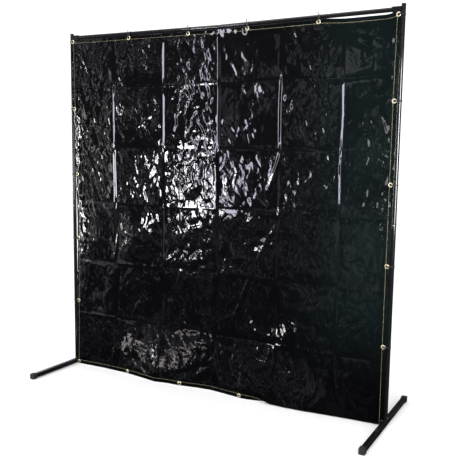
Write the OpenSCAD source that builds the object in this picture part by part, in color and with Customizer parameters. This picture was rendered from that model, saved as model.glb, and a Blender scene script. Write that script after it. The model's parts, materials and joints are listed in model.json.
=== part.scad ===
// Free-standing welding curtain screen: a knock-down frame of steel tube on
// two T-shaped feet, with a hemmed vinyl curtain tied to it by cable ties.
// Millimetres, +Z up, curtain side towards -Y. The origin is on the floor,
// midway between the uprights.

/* [Frame] */
// Height of the uprights above the floor
overall_h = 1830; // [1700:10:1900]
// Width over the outsides of the two uprights
overall_w = 1830; // [1700:10:1900]
// Outside diameter of the uprights and the crossbar
tube_d = 19; // [18.5:0.25:19]
// Wall of every round tube
tube_wall = 1.2; // [1:0.1:1.2]
// Height of the seam between the two pieces of an upright
seam_z = 892; // [800:10:1000]
// Length of the reduced tube end that plugs into the next tube
plug_len = 60; // [50:5:80]
// From the top of an upright down to the crossbar's middle line
bar_drop = 21.5; // [20:0.5:30]
// Droop of the crossbar at its loose middle joint
bar_sag = 8; // [0:1:10]

/* [Feet] */
// Length of a foot over its end caps
foot_len = 680; // [500:10:800]
// Side of the square foot tube
foot_side = 22; // [22:1:24]
// Wall of the square tubes
foot_wall = 1.3; // [1:0.1:1.3]
// Height of the foot tube above the floor, set by the pads of the end caps
foot_lift = 4; // [3:0.5:6]
// Wall of an end cap
cap_wall = 2.5; // [2:0.25:2.5]
// How far an end cap reaches along the foot tube
cap_len = 24; // [18:1:40]

/* [Curtain] */
// Thickness of the vinyl sheet
sheet_t = 0.6; // [0.4:0.1:0.8]
// Thickness of the folded hem
hem_t = 1.6; // [1.2:0.1:1.6]
// Width of the hem
hem_w = 22; // [20:1:30]
// From the axis of a tube forward to the middle of the curtain
sheet_off = 14.5; // [14.5:0.5:16]
// Eyelets along each side, corners included
eyelets_n = 6; // [4:1:8]
// Hole through an eyelet
eyelet_hole_d = 10; // [9:0.5:11]
// Outside diameter of an eyelet's flange
eyelet_d = 21; // [19:0.5:21]
// From the upper or lower edge of the curtain to the middle of an eyelet
eyelet_inset = 12; // [12:0.5:14]
// From a side edge of the curtain to the middle of an eyelet
side_inset = 15; // [14:0.5:16]
// How far the first eyelets of the top row stand to the right of even spacing
top_shift = [0, 20, 27]; // [0:1:30]
// Clearance under the lower edge of the curtain
hem_z = 4; // [3:1:10]

/* [Cable ties] */
// Width of a tie's band
tie_w = 4.8; // [3.6:0.2:4.8]
// Thickness of a tie's band
tie_t = 1.2; // [1:0.1:1.3]
// How far a cut tail stands past the tube
tie_tail = 8; // [5:1:12]

/* [Snap buttons] */
// Diameter of a button
button_d = 7.6; // [6:0.2:8]
// How far a button stands proud of the tube
button_proud = 2.8; // [2:0.1:3]
// Height of the buttons above the tube end they lock
button_up = 10; // [8:1:14]

/* [Hidden] */

// Fit between parts that touch, and through-cut allowance
fit = 0.05;
cut = 1;
$fn = 64;

// Round tubes
tube_r = tube_d / 2;
bore_r = tube_r - tube_wall;
plug_r = bore_r - 0.2;
// The crossbar's plug is looser, which is what lets the bar droop
bar_plug_r = bore_r - 0.6;
post_x = overall_w / 2 - tube_r;
bar_z = overall_h - bar_drop;

// Square tubes: outside corners are rounded
corner_r = 2.5;
foot_top = foot_lift + foot_side;
spigot_top = foot_top + plug_len + 6;
post_foot_z = foot_top + 0.2;
plug_head = 2;
plug_stem = 12;

// Crossbar sockets, welded to the inner faces of the uprights
socket_len = 38;
socket_wall = 1.25;
socket_in = post_x - tube_r - socket_len;
bar_end = post_x - tube_r - 4;
bar_pivot = (socket_in + bar_end) / 2;
bar_tilt = atan(bar_sag / bar_pivot);
bar_plug = 25;

// End caps
cap_side = foot_side + 2 * cap_wall;
cap_top = foot_top + cap_wall;
cap_end = 3;

// Curtain outline: the side edges stop behind the front of the uprights, and
// the lower corners tuck in beside the feet
edge_x = post_x - 4;
tuck_x = post_x - foot_side / 2 - 2;
tuck_z = foot_top + 4;
free_z = foot_top + 34;
sheet_y = -sheet_off;
hem_front = sheet_y - hem_t / 2;
hem_back = sheet_y + hem_t / 2;

// Eyelets
hole_r = eyelet_hole_d / 2;
flange_r = eyelet_d / 2;
flange_t = 1.8;
flange_edge = 0.6;
flange_bevel = 1.4;
barrel_r = hole_r + 0.7;
washer_t = 0.8;
lip_t = 0.6;
lip_w = 2.2;
edge_gap = 12;
side_eye_x = edge_x - side_inset;
top_eye_drop = edge_gap + eyelet_inset;
low_eye_z = hem_z + eyelet_inset;
low_eye_x = tuck_x - eyelet_inset;

// Cable ties: inner radius of a bend, size of the head, and where the tail runs through it
tie_bend = 0.6;
tie_head = [7.5, 4.6, tie_w + 2.6];
tail_in = 1.5;
tail_w = tie_w * 0.8;

// Snap clips: distances are measured out from the axis of the tube
button_r = button_d / 2;
button_hole_r = button_r + 0.2;
button_base = 4.6;
dome_h = 1.3;
// Points of the dome's profile: distance in from its rim, share of dome_h down from its top
dome_profile = [[0, 1], [0.5, 0.5], [1.4, 0.15], [2.4, 0]];
// The leaf spring: its width and thickness, how far it runs past the button,
// how far down it folds, and where the outer face of its back arm is
leaf_w = 5;
leaf_t = 0.8;
leaf_seat = 6;
leaf_fold = 32;
leaf_back = 1.8;

// Height of the crossbar's middle line at a distance x from the middle
function bar_line(x) = bar_z - bar_sag * (1 - abs(x) / bar_pivot);
// Height of the curtain's upper edge
function top_edge(x) = bar_line(x) - edge_gap;

// Eyelet number i of a row or column, from -1 to +1
function along(i) = -1 + 2 * i / (eyelets_n - 1);
// A corner is counted once, in the rows
top_eyes = [for (i = [0:eyelets_n - 1])
    let (x = along(i) * side_eye_x + (i < len(top_shift) ? top_shift[i] : 0))
    [x, bar_line(x) - top_eye_drop]];
low_eyes = [for (i = [0:eyelets_n - 1]) [along(i) * low_eye_x, low_eye_z]];
corner_z = top_eyes[0][1];
side_z = [for (i = [1:eyelets_n - 1])
    corner_z - (corner_z - low_eye_z) * i / (eyelets_n - 1)];
side_eyes = [for (i = [0:eyelets_n - 3], s = [-1, 1]) [s * side_eye_x, side_z[i]]];
eyes = concat(top_eyes, low_eyes, side_eyes);

// Direction of the outward normal of the line that touches circles p and q
function touch(p, q) = let (d = [q[0] - p[0], q[1] - p[1]])
    atan2(d[1], d[0]) - acos((p[2] - q[2]) / norm(d));
// Points on the rim of circle c, counted anticlockwise from angle a to angle b
function rim(c, a, b) = let (sweep = b < a ? b + 360 - a : b - a, n = ceil(sweep / 9))
    [for (i = [0:n]) [c[0], c[1]] + c[2] * [cos(a + sweep * i / n), sin(a + sweep * i / n)]];
// Outline of a band pulled tight round circles [x, y, r], listed anticlockwise
function pulled_tight(c) = let (n = len(c)) [for (i = [0:n - 1])
    each rim(c[i], touch(c[(i + n - 1) % n], c[i]), touch(c[i], c[(i + 1) % n]))];

module round_tube(r, bore, z0, z1) {
    difference() {
        translate([0, 0, z0]) cylinder(r = r, h = z1 - z0);
        translate([0, 0, z0 - cut]) cylinder(r = bore, h = z1 - z0 + 2 * cut);
    }
}

module rounded_square(w, h, r) {
    square([w - 2 * r, h], center = true);
    square([w, h - 2 * r], center = true);
    for (x = [-1, 1], y = [-1, 1])
        translate([x * (w / 2 - r), y * (h / 2 - r)]) circle(r = r);
}

module square_tube_2d(side, wall, r) {
    difference() {
        rounded_square(side, side, r);
        rounded_square(side - 2 * wall, side - 2 * wall, r - wall + 0.2);
    }
}

// Cuts a button's hole through the wall at height z, on the side at angle a
module button_hole(z, a) {
    translate([0, 0, z]) rotate([0, 0, a]) rotate([0, 90, 0])
        cylinder(r = button_hole_r, h = tube_d);
}

// Spring clip: a domed button on one arm of a folded leaf spring, pointing +X
module snap_clip() {
    button_h = tube_r + button_proud - button_base;
    seat_out = button_base + leaf_t / 2;
    seat_in = button_base - leaf_t / 2;
    back_in = leaf_t - leaf_back;
    color("silver") {
        translate([button_base, 0, 0]) rotate([0, 90, 0]) rotate_extrude()
            polygon(concat([[0, 0], [button_r, 0]],
                [for (d = dome_profile) [button_r - d[0], button_h - d[1] * dome_h]],
                [[0, button_h]]));
        rotate([90, 0, 0]) translate([0, 0, -leaf_w / 2]) linear_extrude(leaf_w)
            polygon([[seat_out, leaf_seat], [seat_in, leaf_seat], [seat_in, -leaf_seat],
                [back_in + leaf_t / 4, 2 - leaf_fold], [back_in, 4 - leaf_fold],
                [back_in, 2 - leaf_seat], [-leaf_back, 2 - leaf_seat],
                [-leaf_back, 3 - leaf_fold], [leaf_t - 2, -leaf_fold],
                [leaf_t * 0.75, -leaf_fold], [seat_out, -leaf_seat]]);
    }
}

module foot() {
    color([0.06, 0.06, 0.065]) translate([post_x, 0, 0]) difference() {
        translate([0, foot_len / 2 - cap_end - fit, foot_lift + foot_side / 2])
            rotate([90, 0, 0]) linear_extrude(foot_len - 2 * cap_end - 2 * fit)
                square_tube_2d(foot_side, foot_wall, corner_r);
        translate([0, 0, foot_lift + foot_side / 2])
            cylinder(r = plug_r + fit, h = foot_side);
    }
}

module foot_spigot() {
    color([0.05, 0.05, 0.055]) translate([post_x, 0, 0]) difference() {
        round_tube(plug_r, plug_r - tube_wall, foot_lift + foot_wall + fit, spigot_top);
        button_hole(post_foot_z + button_up, 0);
    }
}

// End cap on the +Y end of the right foot
module foot_cap() {
    color([0.08, 0.08, 0.08]) translate([post_x, foot_len / 2, 0]) difference() {
        translate([0, 0, cap_top / 2]) rotate([90, 0, 0])
            linear_extrude(cap_len) rounded_square(cap_side, cap_top, 3.2);
        translate([0, -cap_end, foot_lift + foot_side / 2]) rotate([90, 0, 0])
            linear_extrude(cap_len) rounded_square(foot_side + 2 * fit, foot_side + 2 * fit, corner_r);
    }
}

module post_lower() {
    color([0.05, 0.05, 0.055]) translate([post_x, 0, 0]) difference() {
        union() {
            translate([0, 0, post_foot_z]) cylinder(r = tube_r, h = seam_z - post_foot_z);
            translate([0, 0, seam_z - cut]) cylinder(r = plug_r, h = plug_len + cut);
        }
        translate([0, 0, post_foot_z - cut])
            cylinder(r = bore_r, h = seam_z - 3 - post_foot_z + cut);
        translate([0, 0, seam_z - 4]) cylinder(r = plug_r - tube_wall, h = plug_len + 4 + cut);
        button_hole(post_foot_z + button_up, 0);
        button_hole(seam_z + button_up, -90);
    }
}

module post_upper() {
    color([0.05, 0.05, 0.055]) translate([post_x, 0, 0]) difference() {
        round_tube(tube_r, bore_r, seam_z + 0.3, overall_h - plug_head);
        button_hole(seam_z + button_up, -90);
    }
}

module post_plug() {
    color([0.08, 0.08, 0.08]) translate([post_x, 0, overall_h]) {
        translate([0, 0, -plug_head + fit]) cylinder(r = tube_r, h = plug_head - fit);
        translate([0, 0, -plug_head - plug_stem])
            cylinder(r = bore_r - fit, h = plug_stem + cut);
    }
}

module bar_socket() {
    color([0.05, 0.05, 0.055]) difference() {
        translate([socket_in, 0, bar_z]) rotate([90, 0, 90])
            linear_extrude(socket_len + 2) square_tube_2d(foot_side, socket_wall, corner_r);
        translate([post_x, 0, bar_z - foot_side]) cylinder(r = tube_r + fit, h = 2 * foot_side);
    }
}

// Right half of the crossbar from distance a to b along its own line
module bar_piece(r, bore, a, b) {
    translate([0, 0, bar_line(0)]) rotate([0, 90 - bar_tilt, 0]) round_tube(r, bore, a, b);
}

module bar_button_hole() {
    translate([0, 0, bar_line(0)]) rotate([-90, 0, 0])
        cylinder(r = button_hole_r, h = tube_d);
}

module crossbar_right() {
    color([0.05, 0.05, 0.055]) difference() {
        union() {
            bar_piece(tube_r, bar_plug_r - tube_wall, bar_plug + 0.5, bar_plug + 5);
            bar_piece(tube_r, bore_r, bar_plug + 4.9, bar_end);
            bar_piece(bar_plug_r, bar_plug_r - tube_wall, -bar_plug, bar_plug + 1);
        }
        bar_button_hole();
    }
}

module crossbar_left() {
    color([0.05, 0.05, 0.055]) difference() {
        mirror([1, 0, 0]) bar_piece(tube_r, bore_r, -bar_plug, bar_end);
        bar_button_hole();
    }
}

// The leaf spring stands up inside the spigot, clear of the foot
module foot_clip() {
    translate([post_x, 0, post_foot_z + button_up]) mirror([0, 0, 1]) snap_clip();
}

module post_clip() {
    translate([post_x, 0, seam_z + button_up]) rotate([0, 0, -90]) snap_clip();
}

// The crossbar's button faces the back of the screen
module crossbar_clip() {
    translate([0, 0, bar_line(0)]) rotate([0, 90 - bar_tilt, 0]) rotate([0, 0, 90]) mirror([0, 0, 1])
        snap_clip();
}

// Half outline of the curtain, drawn inwards by i on every side
function half_outline(i) = [
    [0, hem_z + i], [tuck_x - i, hem_z + i], [tuck_x - i, tuck_z],
    [edge_x - i, free_z], [edge_x - i, top_edge(edge_x) - i], [0, top_edge(0) - i]];

module outline_2d(i) {
    polygon(half_outline(i));
    mirror([1, 0]) polygon(half_outline(i));
}

// Stands a flat XZ drawing up with its middle thickness on the sheet plane
module upright(t) {
    translate([0, sheet_y + t / 2, 0]) rotate([90, 0, 0]) linear_extrude(t) children();
}

module at_eyes() {
    for (e = eyes) translate([e[0], 0, e[1]]) rotate([90, 0, 0]) children();
}

module curtain() {
    color([0.07, 0.08, 0.08]) difference() {
        union() {
            upright(sheet_t) outline_2d(hem_w - cut);
            upright(hem_t) difference() {
                outline_2d(0);
                outline_2d(hem_w);
            }
        }
        at_eyes() translate([0, 0, -hem_back - cut])
            cylinder(r = barrel_r + fit, h = hem_t + 2 * cut);
    }
}

// Local +Z points forward, out of the face of the curtain
module eyelet() {
    front = fit - hem_front;
    back = -hem_back - washer_t - 2 * fit;
    rotate_extrude() {
        polygon([[hole_r, front], [flange_r, front], [flange_r, front + flange_edge],
            [flange_r - flange_bevel, front + flange_t], [hole_r + 1, front + flange_t],
            [hole_r, front + flange_t - 0.8]]);
        polygon([[hole_r, back - lip_t], [barrel_r, back - lip_t],
            [barrel_r, front + fit], [hole_r, front + fit]]);
        polygon([[hole_r, back - lip_t], [hole_r + lip_w, back - lip_t],
            [hole_r + lip_w, back], [hole_r, back]]);
    }
}

module eyelets() {
    color("gold") at_eyes() eyelet();
}

module eyelet_washers() {
    color("goldenrod") at_eyes() translate([0, 0, -hem_back - washer_t - fit]) difference() {
        cylinder(r = flange_r, h = washer_t);
        translate([0, 0, -cut]) cylinder(r = barrel_r + fit, h = washer_t + 2 * cut);
    }
}

// Cable tie round a tube on the Z axis. The eyelet is e away on the -X side,
// in a hem whose edge is i beyond it.
module tie(e, i) {
    front_y = hem_front - flange_t - 0.3 + tie_bend;
    back_y = hem_back + washer_t + lip_t;
    loop = [[0.5 - e, front_y], [i - e - 0.5, front_y], [0, 0], [0.5 - e, back_y]];
    radius = [tie_bend, tie_bend, tube_r + 0.1, tie_bend];
    inner = [for (k = [0:3]) [loop[k][0], loop[k][1], radius[k]]];
    outer = [for (k = [0:3]) [loop[k][0], loop[k][1], radius[k] + tie_t]];
    head_y = front_y - tie_bend - tie_head[1];
    color([0.04, 0.04, 0.04]) {
        translate([0, 0, -tie_w / 2]) linear_extrude(tie_w) difference() {
            polygon(pulled_tight(outer));
            polygon(pulled_tight(inner));
        }
        translate([2 - e, head_y, -tie_head[2] / 2]) cube(tie_head);
        translate([6 - e, head_y + tail_in, -tail_w / 2])
            cube([e - 6 + tube_r + tie_tail, tie_t, tail_w]);
    }
}

module top_ties() {
    for (i = [1:eyelets_n - 2])
        translate([top_eyes[i][0], 0, bar_line(top_eyes[i][0])])
            rotate([0, -90, 0]) tie(top_eye_drop, eyelet_inset);
}

module side_ties() {
    for (z = concat([corner_z], [for (i = [0:eyelets_n - 3]) side_z[i]]))
        translate([post_x, 0, z]) tie(post_x - side_eye_x, side_inset);
}

module left() {
    mirror([1, 0, 0]) children();
}

module front() {
    mirror([0, 1, 0]) children();
}

left() foot();  // left_foot
foot();  // right_foot
left() foot_spigot();  // left_foot_spigot
foot_spigot();  // right_foot_spigot
left() front() foot_cap();  // left_front_cap
left() foot_cap();  // left_rear_cap
front() foot_cap();  // right_front_cap
foot_cap();  // right_rear_cap
left() post_lower();  // left_post_lower
post_lower();  // right_post_lower
left() post_upper();  // left_post_upper
post_upper();  // right_post_upper
left() post_plug();  // left_post_plug
post_plug();  // right_post_plug
left() bar_socket();  // left_bar_socket
bar_socket();  // right_bar_socket
crossbar_left();
crossbar_right();
left() foot_clip();  // left_foot_clip
foot_clip();  // right_foot_clip
left() post_clip();  // left_post_clip
post_clip();  // right_post_clip
crossbar_clip();
curtain();
eyelets();
eyelet_washers();
top_ties();
left() side_ties();  // left_ties
side_ties();  // right_ties
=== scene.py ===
import json
import math

import bpy
import numpy as np
from mathutils import Matrix, Vector


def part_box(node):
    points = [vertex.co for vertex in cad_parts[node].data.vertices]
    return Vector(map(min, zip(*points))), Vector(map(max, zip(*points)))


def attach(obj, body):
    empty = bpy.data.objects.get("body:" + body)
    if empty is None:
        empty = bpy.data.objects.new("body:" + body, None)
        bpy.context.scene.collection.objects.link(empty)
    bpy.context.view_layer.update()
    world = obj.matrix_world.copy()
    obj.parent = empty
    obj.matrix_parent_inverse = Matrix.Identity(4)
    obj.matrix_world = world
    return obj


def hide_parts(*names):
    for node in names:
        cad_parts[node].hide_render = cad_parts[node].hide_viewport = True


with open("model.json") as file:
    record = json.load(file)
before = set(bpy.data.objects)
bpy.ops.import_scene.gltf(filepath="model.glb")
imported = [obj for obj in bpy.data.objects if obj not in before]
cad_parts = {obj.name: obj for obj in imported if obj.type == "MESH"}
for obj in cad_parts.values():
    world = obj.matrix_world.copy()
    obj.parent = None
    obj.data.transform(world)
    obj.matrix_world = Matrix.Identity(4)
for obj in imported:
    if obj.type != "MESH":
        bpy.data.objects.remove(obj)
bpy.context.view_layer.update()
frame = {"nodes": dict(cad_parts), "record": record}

# Welding curtain screen. Metres, +Z up, the curtain on the -Y side of the frame.
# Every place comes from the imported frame; the values below say how the soft
# parts hang on it and how the surfaces look.

BODY = "frame"
nodes = frame["nodes"]
# Two solids of one CAD node are further apart than this
SOLID_REACH = 0.06
# Eyelets this near to the upper or lower edge belong to its row
ROW_REACH = 0.05

# ---------------------------------------------------------------- frame sizes

curtain_low, curtain_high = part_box("curtain")
post_low, post_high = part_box("right_post_upper")
bar_low, bar_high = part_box("crossbar_right")
post_x = (post_low.x + post_high.x) / 2
tube_radius = (post_high.x - post_low.x) / 2
sheet_y = (curtain_low.y + curtain_high.y) / 2
half_width = curtain_high.x
hem_z = curtain_low.z
corner_top = curtain_high.z


def solids(node):
    """Lowest and highest corner of each separate solid of a CAD node, as a list of pairs."""
    points = np.array([v.co for v in nodes[node].data.vertices])
    found = []
    while len(points):
        near = np.abs(points - points[0]).max(axis=1) < SOLID_REACH
        lump = points[near]
        found.append((lump.min(axis=0), lump.max(axis=0)))
        points = points[~near]
    return found


eyelet_centres = [(low + high) / 2 for low, high in solids("eyelets")]
top_row = sorted([c for c in eyelet_centres if c[2] > corner_top - ROW_REACH], key=lambda c: c[0])
low_row = sorted([c for c in eyelet_centres if c[2] < hem_z + ROW_REACH], key=lambda c: c[0])
between_rows = [c for c in eyelet_centres if hem_z + ROW_REACH < c[2] < corner_top - ROW_REACH]
left_column = sorted([c for c in between_rows if c[0] < 0], key=lambda c: -c[2])
right_column = sorted([c for c in between_rows if c[0] > 0], key=lambda c: -c[2])
top_gap = bar_high.z - tube_radius - corner_top


def bar_line(x):
    """Height of the crossbar's middle line: two straight halves that meet lower in the middle."""
    rise = bar_high.z - bar_low.z - 2 * tube_radius
    return bar_low.z + tube_radius + rise * np.abs(x) / bar_high.x


# ---------------------------------------------------------------- noise

# The noise repeats after this many features
TABLE_SIZE = 64


def smooth_noise(x, z, size, seed):
    """Smooth noise from -1 to 1 with features of about the given size."""
    table = np.random.default_rng(seed).random((TABLE_SIZE, TABLE_SIZE))
    gx, gz = x / size, z / size
    ix, iz = np.floor(gx).astype(int), np.floor(gz).astype(int)
    fx, fz = gx - ix, gz - iz
    wx = fx ** 3 * (fx * (fx * 6 - 15) + 10)
    wz = fz ** 3 * (fz * (fz * 6 - 15) + 10)
    corner = [[table[(ix + a) % TABLE_SIZE, (iz + b) % TABLE_SIZE] for b in (0, 1)] for a in (0, 1)]
    low = corner[0][0] * (1 - wx) + corner[1][0] * wx
    high = corner[0][1] * (1 - wx) + corner[1][1] * wx
    return (low * (1 - wz) + high * wz) * 2 - 1


def layered(x, z, layers):
    """The sum of some layers of smooth noise, each given as height, size and seed."""
    return sum(height * smooth_noise(x, z, size, seed) for height, size, seed in layers)


def eased(share):
    """Goes from 0 to 1 with its share, starting and ending gently."""
    return share ** 2 * (3 - 2 * share)


def bump(distance, width):
    """A smooth hump that is 1 at no distance and falls away over about the given width."""
    return np.exp(-(distance / width) ** 2)


# ---------------------------------------------------------------- the hanging sheet

# Fold lines left by packing the sheet into sixths, both ways
FOLD_X = (-0.613, -0.293, 0.025, 0.355, 0.657)
FOLD_Z = (1.536, 1.224, 0.930, 0.610, 0.302)
FOLD_SLOPE = 0.13
FOLD_WIDTH = 0.010
FOLD_ROUNDING = 0.0015
# How strongly the level folds stand out, least and most, and those that do so strongest:
# number of the fold from the top, column
FOLD_SEED = 5
FOLD_STRENGTH = (0.5, 1.2)
STRONG_FOLDS = ((0, 2), (3, 2))
STRONGEST = 1.7
# How the folds stray from straight lines: layers of height, size and seed
STRAY_X = ((0.004, 0.23, 11), (0.0006, 0.03, 12))
STRAY_Z = ((0.006, 0.21, 13), (0.0015, 0.02, 14))
# Each upright fold is a narrow step, which fades out beside it. A row's slope holds this
# far above and below the middle of its panels, of which the outer rows are this much taller.
STEP_WIDTH = 0.017
STEP_ROUNDING = 0.005
STEP_SHOULDER = 0.045
STEP_SPREAD = 0.13
OUTER_ROW = 0.1
# The slope of each step from the top row of panels down; a plus makes the step face right
STEP_SLOPE = (
    (0.03, 0.191, 0.194, 0.12, 0.02, -0.02),
    (0.104, 0.104, -0.01, -0.03, 0.03, 0.01),
    (0.06, 0.018, 0.08, 0.09, 0.04, -0.03),
    (0.01, -0.071, -0.03, 0.05, -0.02, 0.03),
    (-0.05, -0.154, -0.151, 0.02, 0.05, 0.02),
)
# How far each eyelet of a side, from the top corner down, is pulled in by the sheet
PULL_LEFT = (0.0, 0.0046, 0.0198, 0.0232, 0.0157, 0.0055)
PULL_RIGHT = (-0.003, 0.0, 0.0003, 0.0006, 0.0012, 0.0)
# How far the upper edge sinks in each space between two ties, how far down that is felt,
# and the share of the space at its left and right end over which it starts
BAY_DROOP = (0.0008, 0.0006, 0.0006, 0.0006, 0.0085)
DROOP_REACH = 0.3
DROOP_ENDS = (0.40, 0.15)
# Where the lower hem swings forward on the floor: how far up that is felt, places along
# the hem, and how far it swings there
SWING_REACH = 0.31
SWING_X = (-0.90, -0.70, -0.54, -0.42, -0.325, -0.25, -0.19, -0.08, 0.0, 0.10, 0.18, 0.30,
           0.42, 0.52, 0.62, 0.72, 0.88)
SWING_Y = (0.0, -0.004, 0.004, 0.022, 0.040, 0.026, 0.024, 0.006, 0.0, 0.012, 0.024, 0.024,
           0.030, 0.026, 0.016, 0.008, 0.0)
# Long soft folds across the panels: their width, how they stray from straight lines, and
# for each its start x, z, end x, z and height
LONG_FOLD_WIDTH = 0.009
LONG_FOLD_STRAY = ((0.004, 0.07, 91),)
LONG_FOLDS = (
    (0.40, 0.96, 0.231, 0.659, 0.0010),
    (0.231, 0.659, 0.118, 0.371, 0.0016),
    (0.262, 0.70, 0.150, 0.38, -0.0012),
    (0.117, 0.402, 0.00, 0.345, 0.0010),
    (-0.868, 1.765, -0.765, 1.60, 0.0019),
    (-0.511, 1.77, -0.36, 1.56, 0.0012),
    (0.36, 1.21, 0.30, 1.03, 0.0015),
    (-0.598, 0.780, -0.620, 0.612, 0.0028),
    (-0.613, 0.15, -0.655, 0.02, 0.0025),
    (-0.40, 0.10, -0.25, 0.16, 0.0015),
)
# How crumpled each panel between folds is, row by row from the top left, and how patchy
CRUMPLED = (
    (0.45, 0.50, 0.38, 0.13, 0.35, 0.20),
    (0.45, 0.60, 0.52, 0.17, 0.55, 0.35),
    (0.42, 0.60, 0.95, 0.32, 0.60, 0.45),
    (0.42, 0.42, 0.90, 0.50, 0.60, 0.55),
    (0.30, 0.32, 0.40, 0.50, 0.60, 0.55),
    (0.50, 0.95, 0.95, 0.70, 0.60, 0.30),
)
CRUMPLED_PATCHES = ((0.55, 0.11, 21), (0.35, 0.05, 22))
# The crinkles are weaker this near to a panel's edge, as a share of its height; its
# width counts for more. Beside an upright fold they are weakest up to the first distance
# and grow over the second.
EDGE_SHARE = 0.14
EDGE_WEAKEST = 0.25
EDGE_ASPECT = 1.5
FOLD_CLEAR = (0.008, 0.02)
FOLD_WEAKEST = 0.12
# How strongly the panels of one column are dished back, at some heights, and where
# across a panel the dish turns from falling back to coming forward
DISHED_COLUMN = 3
DISHED_Z = (0.92, 1.04, 1.24, 1.80)
DISHED = (0.0, 0.045, 0.06, 0.065)
DISH_TURN = 0.6
# How far a panel bulges one way or the other, and the panels that bulge by a set amount:
# column, row, height
BULGE_SEED = 8
BULGE = 0.0030
BULGED = ((0, 3, 0.006), (1, 3, 0.009), (2, 4, -0.002))
# Spots that are crumpled more than their panel: x, z, reach, strength added
CRUMPLED_SPOTS = (
    (-0.715, 1.700, 0.060, 0.6),
    (-0.276, 0.131, 0.090, 0.9),
    (-0.400, 0.100, 0.120, 0.6),
    (-0.130, 0.256, 0.060, 0.6),
    (-0.120, 0.640, 0.090, 0.9),
    (0.069, 0.670, 0.045, 1.2),
    (0.344, 0.269, 0.035, 1.2),
    (0.232, 0.201, 0.060, 0.6),
    (0.612, 0.259, 0.050, 0.5),
    (-0.450, 1.720, 0.080, 0.5),
    (-0.578, 1.550, 0.030, 1.2),
    (-0.166, 1.515, 0.050, 1.0),
    (-0.234, 1.775, 0.040, 1.5),
    (-0.150, 1.765, 0.040, 0.8),
    (-0.050, 1.770, 0.030, 0.5),
    (0.044, 1.782, 0.018, 1.6),
    (-0.020, 1.080, 0.110, 0.5),
    (0.110, 1.060, 0.060, 0.5),
    (-0.100, 1.290, 0.070, 0.5),
    (0.868, 1.180, 0.080, 0.9),
    (0.862, 1.330, 0.050, 0.6),
    (0.735, 1.235, 0.045, 0.8),
    (0.760, 1.335, 0.030, 0.8),
)
# Crinkles: size, slope at a strength of 1, and seed
CRINKLES = ((0.055, 0.055, 41), (0.027, 0.080, 51), (0.0140, 0.050, 61))
# The dents, ridges and streaks of a crinkle: share, size, how X and Z are slanted, and
# whether the noise is folded into sharp ridges
CRINKLE_PARTS = (
    (0.4, 1.0, (1.0, 0.3), (-0.3, 1.0), False),
    (0.7, 1.3, (1.0, -0.4), (0.4, 1.0), True),
    (-0.5, 1.2, (1.6, 0.9), (0.0, 0.7), True),
)
# How far crinkles are warped, over what size, and how much of their height they keep
WARP = 0.8
WARP_SIZE = 2.3
SQUASH = 0.75
# The strongest crumpling that is stored on the mesh for the material
MOST_CRUMPLED = 2
# The waves of the whole sheet: layers of height, size and seed
WAVES = ((0.0012, 0.42, 31), (0.0003, 0.17, 32))
# The puckers along the stitch line, how wide they are and how strong near the top
PUCKERS = ((0.0005, 0.012, 71), (0.0007, 0.03, 72))
PUCKER_WIDTH = 0.012
PUCKER_TOP = 0.4
PUCKER_TOP_REACH = 0.06
# The relief fades to this share at the edge, over this distance
EDGE_FADE = 0.3
EDGE_REACH = 0.05
# An eyelet holds the sheet in its plane over this reach
HELD_REACH = 0.018
HEM_WIDTH = 0.0195
HEM_THICKNESS = 0.0016
SHEET_THICKNESS = 0.0007
# The left hem curls back where the sheet pulls it in. It starts to over the lower range
# of heights and stops over the higher one.
CURL_DEPTH = 0.0050
CURL_REACH = 0.030
CURL_LOW = (0.38, 0.48)
CURL_HIGH = (1.38, 1.46)
CURL_UNEVEN = ((0.5, 0.07, 81), (0.25, 0.025, 82))
# The lower hem is turned under along its right half: where that starts and is complete,
# how far it turns, the turned length, the length of the bend, and the height above which
# the sheet isn't let down to make up for the turned length
TURN_START = 0.20
TURN_FULL = 0.40
TURN_ANGLE = math.radians(110)
TURN_LENGTH = 0.0245
TURN_BEND = 0.006
TURN_REACH = 0.55
# Keeps the bend's radius finite where the hem hangs straight
NO_ANGLE = 0.0001
# The edges of the lower corners are tucked in beside the feet: how far, over what
# distance in from the edge, below what height and how quickly
TUCK = 0.009
TUCK_X = (0.884, 0.9015)
TUCK_HEIGHT = 0.0285
TUCK_FADE = 0.004
# The mesh: the distance between its points, and the extra lines of points beside the
# edges, across the sheet in metres and up it as shares of its height
MESH_STEP = 0.004
RIM = 0.0015
ROW_SHARES = (0, 0.0008, 0.0095, 0.011, 0.012, 0.013, 0.014, 0.989, 0.9992, 1)
# The edge of the sheet is rounded off over this distance, but keeps a little thickness,
# and the hem's thickness eases into the sheet's over this distance
EDGE_ROUNDING = 0.0012
EDGE_LEAST = 0.02
HEM_EASE = 0.004
# The finest crinkles fade out over this distance from the edge
FINE_REACH = 0.03


def panel_of(x, z):
    """Column from the left and row from the top of the panel that a place is in."""
    column = np.searchsorted(FOLD_X, x)
    row = len(FOLD_Z) - np.searchsorted(FOLD_Z[::-1], z)
    return column, row


def crease(distance, slope):
    """A sharp ridge whose flanks start at the given slope and flatten out."""
    return slope * FOLD_WIDTH * np.exp(-np.hypot(distance, FOLD_ROUNDING) / FOLD_WIDTH)


def step_fold(distance, slope):
    """A narrow, slightly rounded step of the given slope, with long flat shoulders."""
    half = STEP_WIDTH / 2
    across = np.clip(distance / half, -1, 1)
    rise = -half * (slope * across - STEP_ROUNDING * across ** 2)
    return rise * np.exp(-np.clip(np.abs(distance) - half, 0, None) / STEP_SHOULDER)


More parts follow.
